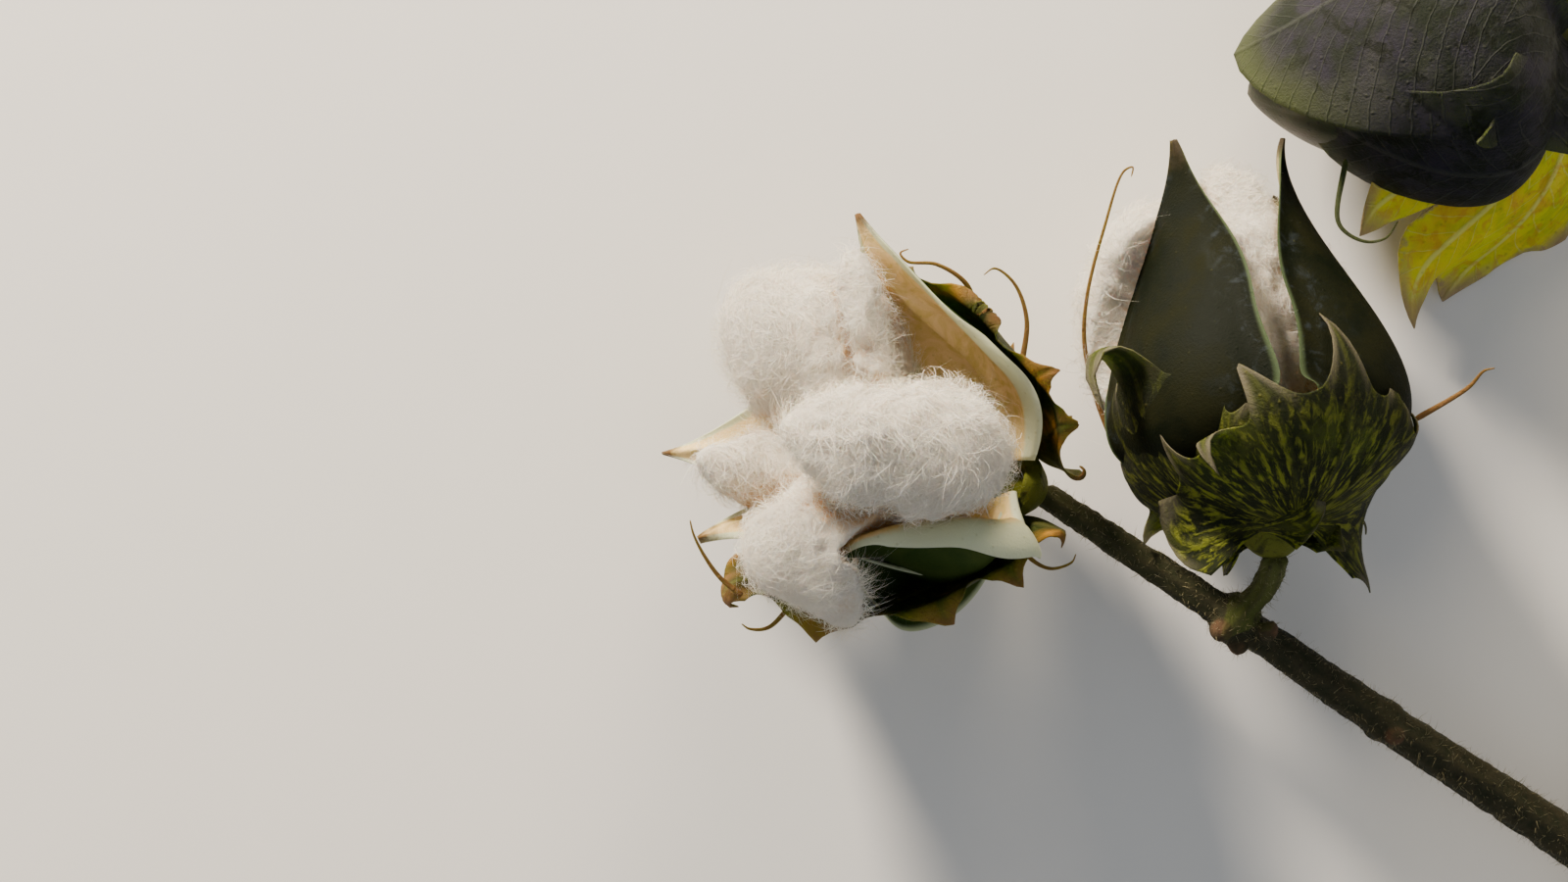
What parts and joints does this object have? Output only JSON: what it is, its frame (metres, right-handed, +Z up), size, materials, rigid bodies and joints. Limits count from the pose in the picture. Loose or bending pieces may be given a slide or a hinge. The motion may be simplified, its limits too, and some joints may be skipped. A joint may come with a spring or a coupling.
{
  "type": "cut branch of a cotton plant",
  "caption": "Cut fruiting branch of a cotton plant, lying down: a forked woody stem with open bolls full of lint and a green boll still shut in its toothed bracts.",
  "frame": {"origin": "under the middle of the branch's bounding box, on the level surface that it lies on", "axes": "+Z up from the surface, +Y away from the cut end of the stem towards the bolls, +X towards the cut end's side, as the picture's right"},
  "size_m": [0.1676, 0.175, 0.0543],
  "materials": {
    "stem": "dark brown-green bark, matt, fine hairs and leaf scars",
    "stalk": "green-brown stalk, matt, speckled",
    "valve": "dark green dried wall outside, cream to gold inside, satin",
    "lint": "warm white cotton fluff",
    "bract": "dark green leafy bract with yellow-green veins and dry brown edges, matt",
    "capsule": "dark purple-green skin with a dull sheen"
  },
  "bodies": {
    "root": {"back_bract_1": "bract", "back_bract_2": "bract", "back_bract_3": "bract", "back_calyx": "stalk", "back_lint_1": "lint", "back_lint_2": "lint", "back_lint_3": "lint", "back_lint_4": "lint", "back_valve_1": "valve", "back_valve_2": "valve", "back_valve_3": "valve", "back_valve_4": "valve", "branch_lower": "stem", "front_bract_1": "bract", "front_bract_2": "bract", "front_bract_3": "bract", "front_calyx": "stalk", "front_lint_1": "lint", "front_lint_2": "lint", "front_lint_3": "lint", "front_lint_4": "lint", "front_lint_5": "lint", "front_valve_1": "valve", "front_valve_2": "valve", "front_valve_3": "valve", "front_valve_4": "valve", "green_bract_1": "bract", "green_bract_2": "bract", "green_bract_3": "bract", "green_calyx": "stalk", "green_capsule": "capsule", "pedicel_back": "stalk", "pedicel_front": "stalk", "stem_lower": "stem", "stem_middle": "stem", "stem_upper": "stem"}
  },
  "joints": []
}
